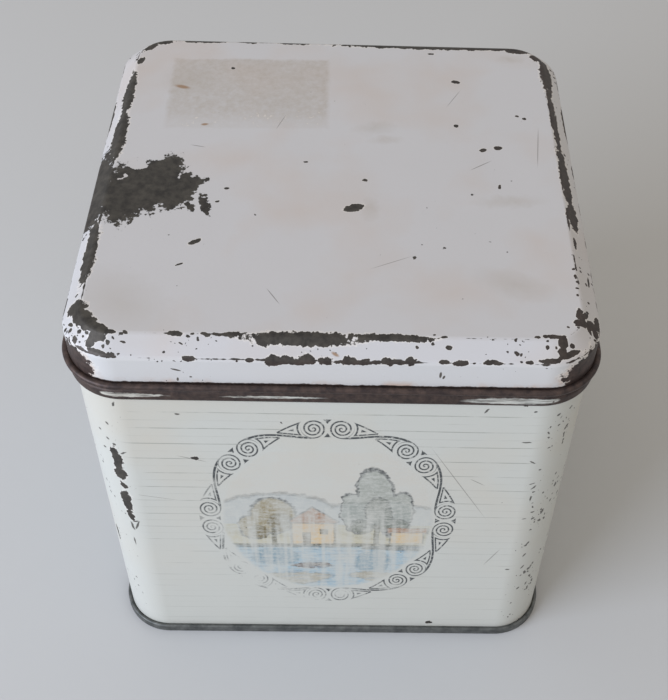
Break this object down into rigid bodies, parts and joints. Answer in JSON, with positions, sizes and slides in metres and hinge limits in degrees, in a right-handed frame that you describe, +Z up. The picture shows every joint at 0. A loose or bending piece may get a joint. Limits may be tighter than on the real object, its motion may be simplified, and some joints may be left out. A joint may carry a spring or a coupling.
{
  "type": "square tin canister",
  "caption": "Square tinplate canister with rounded corners, a bevelled slip lid that lifts straight off, a raised stop bead under the lid and a double-seamed base.",
  "frame": {"origin": "middle of the base, on the plane that the tin stands on", "axes": "+Z up through the lid, -Y towards the printed front, +X to the right seen from the front"},
  "size_m": [0.114, 0.114, 0.113],
  "materials": {
    "lid_paint": "worn satin paint over tinplate",
    "body_paint": "worn satin paint over tinplate",
    "base_tinplate": "dull tarnished tinplate"
  },
  "bodies": {
    "tin": {"body_wrapper": "body_paint", "base_end": "base_tinplate"},
    "lid": {"lid": "lid_paint"}
  },
  "joints": [
    {"name": "lid_lift", "type": "slide", "parent": "tin", "child": "lid", "axis": [0, 0, 1], "range_m": [0, 0.06]}
  ]
}
